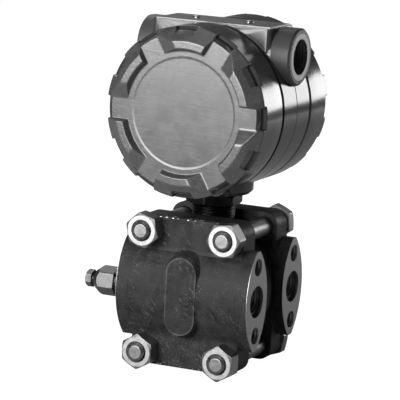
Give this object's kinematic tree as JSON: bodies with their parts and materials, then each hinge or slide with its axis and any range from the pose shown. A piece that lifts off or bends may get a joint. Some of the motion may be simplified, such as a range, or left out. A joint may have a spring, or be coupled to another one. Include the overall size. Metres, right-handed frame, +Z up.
{
  "type": "differential pressure transmitter",
  "caption": "Industrial differential pressure transmitter: bolted process flanges clamp a cell, and a round housing with screwed covers turns on its neck.",
  "frame": {"origin": "centre of the four tapped holes on the process face, halfway between the two process ports", "axes": "+X leaves the process face, +Y goes from the front cover to the rear cover, +Z is up along the neck"},
  "size_m": [0.1204, 0.1086, 0.2106],
  "materials": {
    "flange_casting": "blackened casting, worn matt, bare machined ends",
    "module_steel": "turned and welded stainless steel",
    "neck_steel": "dark oiled steel",
    "diaphragm_alloy": "bright thin sheet",
    "filled_ptfe": "matt off-white",
    "valve_steel": "turned stainless steel",
    "bolt_steel": "plated steel, dull",
    "nut_zinc": "bright zinc plate",
    "housing_paint": "smooth gloss paint on cast aluminium",
    "cover_paint": "smooth gloss paint on cast aluminium",
    "seal_rubber": "black nitrile",
    "plate_metal": "fine brushed, blank",
    "small_screw": "plated, slotted",
    "block_moulding": "black phenolic moulding",
    "circuit_board": "coated glass-fibre board",
    "post_brass": "plain turned brass"
  },
  "bodies": {
    "sensor": {"sensor_module": "module_steel", "front_flange": "flange_casting", "rear_flange": "flange_casting", "flange_bolt_upper_left": "bolt_steel", "flange_bolt_upper_right": "bolt_steel", "flange_bolt_lower_left": "bolt_steel", "flange_bolt_lower_right": "bolt_steel", "flange_nut_upper_left": "nut_zinc", "flange_nut_upper_right": "nut_zinc", "flange_nut_lower_left": "nut_zinc", "flange_nut_lower_right": "nut_zinc", "front_diaphragm": "diaphragm_alloy", "rear_diaphragm": "diaphragm_alloy", "front_process_seal": "filled_ptfe", "rear_process_seal": "filled_ptfe", "front_vent_seat": "valve_steel", "rear_vent_seat": "valve_steel"},
    "lock_ring": {"lock_nut": "neck_steel"},
    "housing": {"housing_body": "housing_paint", "name_plate": "plate_metal", "name_plate_screw_left": "small_screw", "name_plate_screw_right": "small_screw", "terminal_block": "block_moulding", "terminal_screw_1": "small_screw", "terminal_screw_2": "small_screw", "terminal_screw_3": "small_screw", "terminal_screw_4": "small_screw", "amplifier_board": "circuit_board", "calibration_board": "circuit_board", "board_post_left": "post_brass", "board_post_right": "post_brass", "board_post_lower": "post_brass"},
    "front_seal": {"front_cover_seal": "seal_rubber"},
    "front_cap": {"front_cover": "cover_paint"},
    "rear_seal": {"rear_cover_seal": "seal_rubber"},
    "rear_cap": {"rear_cover": "cover_paint"},
    "zero_adjuster": {"zero_screw": "small_screw"},
    "span_adjuster": {"span_screw": "small_screw"},
    "front_vent": {"front_vent_stem": "valve_steel"},
    "rear_vent": {"rear_vent_stem": "valve_steel"}
  },
  "joints": [
    {"name": "housing_swivel", "type": "hinge", "parent": "sensor", "child": "housing", "pos_m": [-0.04286, 0, 0.0582], "axis": [0, 0, 1], "range_deg": [-90, 90]},
    {"name": "lock_nut_turn", "type": "hinge", "parent": "sensor", "child": "lock_ring", "pos_m": [-0.04286, 0, 0.0542], "axis": [0, 0, 1], "range_deg": [-90, 0]},
    {"name": "front_cover_travel", "type": "slide", "parent": "housing", "child": "front_seal", "axis": [0, -1, 0], "range_m": [0, 0.0212]},
    {"name": "front_cover_turn", "type": "hinge", "parent": "front_seal", "child": "front_cap", "pos_m": [-0.04286, -0.035, 0.1107], "axis": [0, -1, 0], "range_deg": [0, 3600]},
    {"name": "rear_cover_travel", "type": "slide", "parent": "housing", "child": "rear_seal", "axis": [0, 1, 0], "range_m": [0, 0.0212]},
    {"name": "rear_cover_turn", "type": "hinge", "parent": "rear_seal", "child": "rear_cap", "pos_m": [-0.04286, 0.035, 0.1107], "axis": [0, 1, 0], "range_deg": [0, 3600]},
    {"name": "zero_turn", "type": "hinge", "parent": "housing", "child": "zero_adjuster", "pos_m": [-0.05136, 0.006, 0.156], "axis": [0, 0, 1], "continuous": true},
    {"name": "span_turn", "type": "hinge", "parent": "housing", "child": "span_adjuster", "pos_m": [-0.03436, 0.006, 0.156], "axis": [0, 0, 1], "continuous": true},
    {"name": "front_vent_turn", "type": "hinge", "parent": "sensor", "child": "front_vent", "pos_m": [-0.10286, -0.027, 0], "axis": [-1, 0, 0], "range_deg": [0, 180]},
    {"name": "rear_vent_turn", "type": "hinge", "parent": "sensor", "child": "rear_vent", "pos_m": [-0.10286, 0.027, 0], "axis": [-1, 0, 0], "range_deg": [0, 180]}
  ],
  "couplings": [
    {"joint": "front_cover_travel", "follows": "front_cover_turn", "m_per_rad": 0.00033688},
    {"joint": "rear_cover_travel", "follows": "rear_cover_turn", "m_per_rad": 0.00033688}
  ]
}
